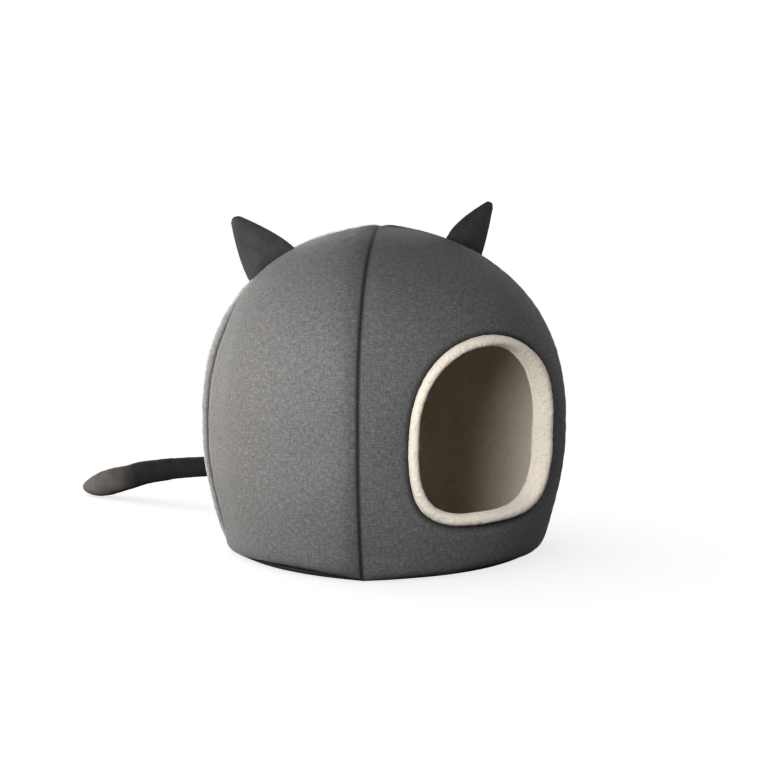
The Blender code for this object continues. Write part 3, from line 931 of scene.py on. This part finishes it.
def make_floor_pad(finish):
    """The soft fleece pad on the floor inside."""
    angles = np.linspace(-180.0, 180.0, 240, endpoint=False)
    level = np.ones(len(angles))
    inset = FLOOR_PAD_INSET
    height = FLOOR_PAD_TOP - BASE_CLOTH - GAP
    low = BASE_CLOTH + GAP
    rings = [base_ring(0.155, level * low, angles),
             base_ring(inset + 0.004, level * low, angles, FLOOR_PAD_BELLY)]
    for turn in np.linspace(0.1, 0.5, 9) * pi:
        rings.append(base_ring(inset + 0.006 * (1.0 - sin(turn)) ** 1.3,
                               level * (low + height * 0.5 * (1.0 - cos(turn))),
                               angles, FLOOR_PAD_BELLY))
    for step in np.linspace(0.0, 1.0, 46) ** 0.8:
        crown_up = FLOOR_PAD_CROWN * (1.0 - (1.0 - step) ** 2.2)
        rise = 0.5 + 0.5 * (1.0 - (1.0 - min(step / 0.08, 1.0)) ** 2) ** 0.5
        top = low + height * rise - FLOOR_PAD_CROWN + crown_up
        rings.append(base_ring(inset + 0.0005 + step * 0.132, level * max(top, low + height * 0.5),
                               angles, FLOOR_PAD_BELLY * (1.0 - step)))
    points = np.stack(rings)
    raised = points.copy()
    raised[..., 2] += 0.0010 * lumps(points, 0.028, 2.0) + 0.0004 * lumps(points, 0.007, 6.0)
    raised[:2] = points[:2]
    piece = Piece("floor_pad")
    cloth = raised[..., 0], raised[..., 1]
    piece.grid(raised, cloth, closed=True, flip=True)
    return piece.build(finish)


# Ears

def ear_frame(seam_angle, z, splay, lean, twist):
    """Foot of an ear on its seam, with its width, thickness and height directions."""
    turn = radians(seam_angle)
    lean_in = float(crown(z)) ** 2
    reach = float(seam_radius(z))
    foot = Vector((reach * sin(turn) + APEX_SHIFT[0] * lean_in,
                   -reach * cos(turn) + APEX_SHIFT[1] * lean_in, z))
    out, up = (float(value) for value in slope_out(z))
    outward = Vector((sin(turn), -cos(turn), 0.0))
    around = Vector((cos(turn), sin(turn), 0.0))
    rise = outward * out + Vector((0.0, 0.0, up))
    along = outward * up - Vector((0.0, 0.0, out))
    tip_out = radians(splay)
    rise, along = (rise * cos(tip_out) + along * sin(tip_out),
                   along * cos(tip_out) - rise * sin(tip_out))
    axis = rise * cos(radians(lean)) + around * sin(radians(lean))
    width = along * cos(radians(twist)) + axis.cross(along) * sin(radians(twist))
    return foot, width, axis.cross(width), axis


def slide_to_dome(point, axis):
    """Distance along the axis that puts a point just clear of the padded face."""
    low, high = -0.03, 0.03
    for _ in range(30):
        middle = (low + high) / 2
        at = point + axis * middle
        out = float(slope_out(min(max(at.z, 0.0), HEIGHTS[-1]))[0])
        if clear_of_dome(at) * max(out, 0.2) > EAR_GAP:
            high = middle
        else:
            low = middle
    return high


def ear_half_width(f):
    """Half the width of an ear at a fraction of its height, rounded off at the tip."""
    taper = 1.0 - min(max(f, 0.0), 1.0) ** EAR_SIDE_POWER
    side = EAR_TIP_HALF_WIDTH + (EAR_WIDTH / 2 - EAR_TIP_HALF_WIDTH) * taper
    to_tip = min(max(1.0 - (1.0 - f) * EAR_HEIGHT / EAR_TIP_ROUND, 0.0), 1.0)
    return side * (1.0 - to_tip ** 2) ** 0.5


def make_ear(name, placing, finish, rows=72, count=56):
    """A stuffed triangle of two pieces, fullest in the middle and thin at its seamed edge."""
    foot, width, thick, axis = ear_frame(*placing)
    turns = np.linspace(0.0, 2.0 * pi, count, endpoint=False)
    wide = np.sign(np.cos(turns)) * np.abs(np.cos(turns)) ** 0.92
    deep = np.sign(np.sin(turns)) * np.abs(np.sin(turns)) ** 1.25
    fs = np.concatenate([np.linspace(-EAR_ROOT_SINK / EAR_HEIGHT, 0.0, 4, endpoint=False),
                         1.0 - (1.0 - np.linspace(0.0, 1.0, rows)) ** 1.7])
    slides = []
    for w, d in zip(wide, deep):
        rim = width * (EAR_WIDTH / 2 * float(w)) + thick * (EAR_HALF_THICKNESS * float(d))
        slides.append(slide_to_dome(foot + rim, axis))
    grid = []
    for f in fs:
        g = max(f, 0.0)
        full = EAR_HALF_THICKNESS + (EAR_TIP_HALF_THICKNESS - EAR_HALF_THICKNESS) * g
        full *= 0.40 + 0.60 * (1.0 - np.exp(-max(f + 0.03, 0.0) / 0.07))
        row = []
        for w, d, slide in zip(wide, deep, slides):
            at = f + slide / EAR_HEIGHT * (1.0 - g) ** 3
            half_width = ear_half_width(at) * (1.0 + 0.6 * min(f, 0.0))
            half_thick = full * min(1.0, half_width / 0.006) ** 0.5
            flat = width * (half_width * float(w)) + thick * (half_thick * float(d))
            row.append(tuple(foot + flat + axis * (EAR_HEIGHT * at)))
        grid.append(row)
    points = np.array(grid)
    normals = facing_out(grid_normals(points, closed=True), points)
    full = np.abs(deep)[None, :] * np.clip(1.0 - fs, 0.0, 1.0)[:, None]
    lift = 0.0016 * lumps(points, 0.024, 11.0) * full + 0.0002 * lumps(points, 0.004, 3.0)
    points = points + normals * lift[..., None]
    cloth = spans(points, 1), spans(points, 0)
    piece = Piece("felt_" + name)
    piece.grid(points, cloth, closed=True)
    return piece.build(finish)


# Tail

def smooth_route(route, steps):
    """Closely spaced points on a smooth curve through the route's points."""
    nodes = [np.array(p) for p in route]
    nodes = [nodes[0] * 2 - nodes[1]] + nodes + [nodes[-1] * 2 - nodes[-2]]
    curve = []
    count = len(route) - 1
    for i in range(steps + 1):
        at = i / steps * count
        k = min(int(at), count - 1)
        t = at - k
        a, b, c, d = nodes[k:k + 4]
        curve.append(0.5 * (2 * b + (c - a) * t + (2 * a - 5 * b + 4 * c - d) * t * t
                            + (3 * b - a - 3 * c + d) * t ** 3))
    return np.array(curve)


def along_curve(runs, marks, curve):
    """Points of a curve at distances along it."""
    return np.stack([np.interp(runs, marks, curve[:, k]) for k in range(3)], axis=-1)


def tail_radius(run, length):
    """Half-thickness of the tail at distances from its root."""
    swell = np.clip(run / (length - TAIL_TIP_LENGTH), 0.0, 1.0)
    radius = TAIL_ROOT_RADIUS + (TAIL_END_RADIUS - TAIL_ROOT_RADIUS) * swell ** TAIL_SWELL_POWER
    to_tip = np.clip(1.0 - (length - run) / TAIL_TIP_LENGTH, 0.0, 1.0)
    return radius * np.sqrt(1.0 - to_tip ** TAIL_TIP_POWER)


def make_tail(finish, sections=230, count=44):
    """A stuffed tube from the back gore down to the floor."""
    root_z = TAIL_ROUTE[0][2]
    root_y = dome_radius(180.0, root_z) - 0.0020
    curve = smooth_route(((0.0, root_y, root_z), *TAIL_ROUTE[1:]), 480)
    marks = np.concatenate([[0.0], np.cumsum(np.linalg.norm(np.diff(curve, axis=0), axis=1))])
    length = marks[-1]
    straight = length - TAIL_TIP_LENGTH
    runs = np.concatenate([np.linspace(0.0, straight, sections, endpoint=False),
                           straight + TAIL_TIP_LENGTH * np.sin(np.linspace(0.0, pi / 2, 34))])
    middle = along_curve(runs, marks, curve)
    even = np.linspace(0.0, length, 400)
    ahead = along_curve(runs, even, np.gradient(along_curve(even, marks, curve), axis=0))
    ahead /= np.linalg.norm(ahead, axis=1, keepdims=True)
    side = np.cross(ahead, np.array([0.0, 0.0, 1.0]))
    side /= np.linalg.norm(side, axis=1, keepdims=True)
    top = np.cross(side, ahead)
    radius = tail_radius(runs, length)
    radius *= 1.0 - 0.22 * np.exp(-runs / 0.006)
    turn = np.linspace(0.0, 2.0 * pi, count, endpoint=False)
    out = side[:, None] * np.cos(turn)[None, :, None] + top[:, None] * np.sin(turn)[None, :, None]
    points = middle[:, None] + out * radius[:, None, None]
    soft = 0.0011 * lumps(points, 0.030, 2.0) + 0.0003 * lumps(points, 0.007, 9.0)
    points = points + out * (soft * np.clip(radius / 0.01, 0.0, 1.0)[:, None])[..., None]
    points[..., 2] = np.maximum(points[..., 2], TAIL_LOWEST)
    cloth = np.broadcast_arrays(turn[None, :] * 0.015, runs[:, None])
    piece = Piece("felt_tail")
    piece.grid(points, cloth, closed=True)
    return piece.build(finish)


# Camera, lights and floor

def make_camera():
    turn = radians(VIEW_AZIMUTH)
    right = Vector((cos(turn), -sin(turn), 0.0))
    back = Vector((sin(turn), cos(turn), 0.0))
    rise = radians(VIEW_ELEVATION)
    camera = bpy.data.objects.new("camera", bpy.data.cameras.new("camera"))
    above = Vector((0.0, 0.0, VIEW_DISTANCE * sin(rise)))
    camera.location = above - back * VIEW_DISTANCE * cos(rise)
    target = right * VIEW_TARGET_SIDE + Vector((0.0, 0.0, VIEW_TARGET_HEIGHT))
    camera.rotation_euler = (target - camera.location).to_track_quat("-Z", "Y").to_euler()
    camera.data.sensor_width = 36.0
    camera.data.lens = LENS
    bpy.context.scene.collection.objects.link(camera)
    bpy.context.scene.camera = camera


def add_light(name, light, colour, lit):
    """Puts a light in the scene that falls on one collection only."""
    light.color = colour
    lamp = bpy.data.objects.new(name, light)
    lamp.light_linking.receiver_collection = lit
    bpy.context.scene.collection.objects.link(lamp)
    return lamp


def make_sun(name, azimuth, elevation, strength, softness, colour, lit):
    """A soft distant light from an angle round the dome."""
    light = bpy.data.lights.new(name, "SUN")
    light.energy = strength
    light.angle = radians(softness)
    turn, rise = radians(azimuth), radians(elevation)
    from_way = Vector((sin(turn) * cos(rise), -cos(turn) * cos(rise), sin(rise)))
    lamp = add_light(name, light, colour, lit)
    lamp.rotation_euler = from_way.to_track_quat("Z", "Y").to_euler()


def make_lamp(name, azimuth, away, height, power, size, colour, lit):
    """A soft lamp near the bed, at an angle round the dome."""
    light = bpy.data.lights.new(name, "POINT")
    light.energy = power
    light.shadow_soft_size = size
    turn = radians(azimuth)
    lamp = add_light(name, light, colour, lit)
    lamp.location = (sin(turn) * away, -cos(turn) * away, height)


def make_floor(glow, bounce):
    """A pale floor, bright to look at and dimmer in the light that it throws up."""
    mesh = bpy.data.meshes.new("floor")
    size = 30.0
    ends = [(-size, -size, 0.0), (size, -size, 0.0), (size, size, 0.0), (-size, size, 0.0)]
    mesh.from_pydata(ends, [], [(0, 1, 2, 3)])
    white, tree, surface = shader("floor_white", roughness=0.9, specular=0.0)
    surface.inputs["Base Color"].default_value = (0.80, 0.80, 0.80, 1.0)
    surface.inputs["Emission Color"].default_value = (1.0, 1.0, 1.0, 1.0)
    surface.inputs["Emission Strength"].default_value = glow
    dim = add(tree, "ShaderNodeBsdfDiffuse", {"Color": (bounce, bounce, bounce, 1.0)})
    path = add(tree, "ShaderNodeLightPath")
    mix = add(tree, "ShaderNodeMixShader",
              {0: path.outputs["Is Camera Ray"], 1: dim.outputs[0], 2: surface.outputs[0]})
    tree.links.new(mix.outputs[0], tree.nodes["Material Output"].inputs["Surface"])
    mesh.materials.append(white)
    floor = bpy.data.objects.new("floor", mesh)
    bpy.context.scene.collection.objects.link(floor)
    return floor


def make_sky(strength):
    """White behind the bed, and a faint light from all round."""
    world = bpy.data.worlds.new("studio")
    bpy.context.scene.world = world
    world.use_nodes = True
    tree = world.node_tree
    tree.nodes.clear()
    seen = add(tree, "ShaderNodeBackground", {"Color": (1.0, 1.0, 1.0, 1.0), "Strength": 1.0})
    lit = add(tree, "ShaderNodeBackground", {"Color": (1.0, 1.0, 1.0, 1.0), "Strength": strength})
    path = add(tree, "ShaderNodeLightPath")
    mix = add(tree, "ShaderNodeMixShader",
              {0: path.outputs["Is Camera Ray"], 1: lit.outputs[0], 2: seen.outputs[0]})
    out = add(tree, "ShaderNodeOutputWorld", {0: mix.outputs[0]})
    tree.nodes.active = out
    bpy.context.scene.view_settings.view_transform = "Standard"
    bpy.context.scene.view_settings.look = "None"


def collect(name, things):
    """A collection of things for a light to fall on."""
    group = bpy.data.collections.new(name)
    for thing in things:
        group.objects.link(thing)
    return group


def flat_cut(face):
    """Width, length and area of a gore's lining as it was cut, from its finished face."""
    rows = spans(face, 1)[:, -1]
    columns = spans(face, 0)[-1]
    width, length = float(rows.max()), float(columns.max())
    side_a = face[1:, :-1] - face[:-1, :-1]
    side_b = face[:-1, 1:] - face[:-1, :-1]
    side_c = face[1:, 1:] - face[1:, :-1]
    side_d = face[1:, 1:] - face[:-1, 1:]
    area = 0.5 * np.linalg.norm(np.cross(side_a, side_b), axis=-1).sum()
    area += 0.5 * np.linalg.norm(np.cross(side_c, side_d), axis=-1).sum()
    return width, length, float(area)


def build_pieces():
    """Makes every piece, puts it on the body in place of its CAD nodes, and returns the back gore.
    """
    felt = woven("felt_charcoal", FELT_COLOUR, 0.27, 0.0016, 0.0005, 0.10)
    back_felt = woven("felt_charcoal_back", FELT_COLOUR, 0.27, 0.0016, 0.0005, 0.45)
    dark = brushed("felt_dark", EAR_COLOUR, 0.06)
    # The tail's felt: the ears' felt darkened by painted shade, with painted light on its tip
    tail_felt_painted = brushed("felt_dark_tail_painted_light_and_shade", TAIL_COLOUR_WITH_PAINTED_SHADE, 0.02, TAIL_TIP_PAINTED_LIGHT)
    cream = fleece("fleece_cream", FLEECE_COLOUR, 0.0028)
    black = bottom_cloth("base_cloth", BASE_COLOUR)
    thread = brushed("thread_dark", THREAD_COLOUR, 0.10)

    gores = {}
    for name in ("left", "right", "back"):
        gore = show(make_gore(name, back_felt if name == "back" else felt),
                    "felt_charcoal", "wall_" + name)
        gores[name] = gore
        lining, face = make_lining(name, cream)
        show(lining, "fleece_cream", "lining_" + name)
        width, length, area = flat_cut(face)
    front = show(make_front(felt), "felt_charcoal", "wall_front")
    front_lining = show(make_lining("front", cream)[0], "fleece_cream", "lining_front")
    rim = show(make_rim(cream), "fleece_cream", "door_rim")
    show(make_stitches(thread), "felt_dark")
    show(make_base(black), "base_cloth", "base")
    pad = show(make_floor_pad(cream), "fleece_cream", "base")
    for name, placing in EARS.items():
        ear = show(make_ear(name, placing, dark), "felt_dark", name)
    tail = show(make_tail(tail_felt_painted), "felt_dark", "tail")

    return gores["back"]


def build():
    make_camera()
    make_sky(0.04)
    back_gore = build_pieces()
    bed = collect("lit_bed", [thing for thing in bpy.context.scene.objects if thing.type == "MESH"])
    behind = collect("lit_back", [back_gore])
    under = collect("lit_floor", [make_floor(glow=0.80, bounce=0.12)])
    make_lamp("key", -119.0, 0.70, 0.250, 31.0, 0.10, WARM_LIGHT, bed)
    make_lamp("fill", -60.0, 0.92, 0.380, 38.0, 0.20, COOL_LIGHT, bed)
    make_sun("front", 15.0, 25.0, 1.1, 60.0, COOL_LIGHT, bed)
    make_sun("rear", 165.0, 7.0, 4.5, 40.0, WHITE_LIGHT, bed)
    make_sun("side", 110.0, 8.0, 2.0, 40.0, COOL_LIGHT, bed)
    make_sun("edge", -146.0, 4.0, 5.0, 16.0, WHITE_LIGHT, behind)
    make_sun("overhead", -150.0, 66.0, 0.80, 70.0, WHITE_LIGHT, under)


build()


def corners(box):
    return [[float(value) for value in corner] for corner in box]
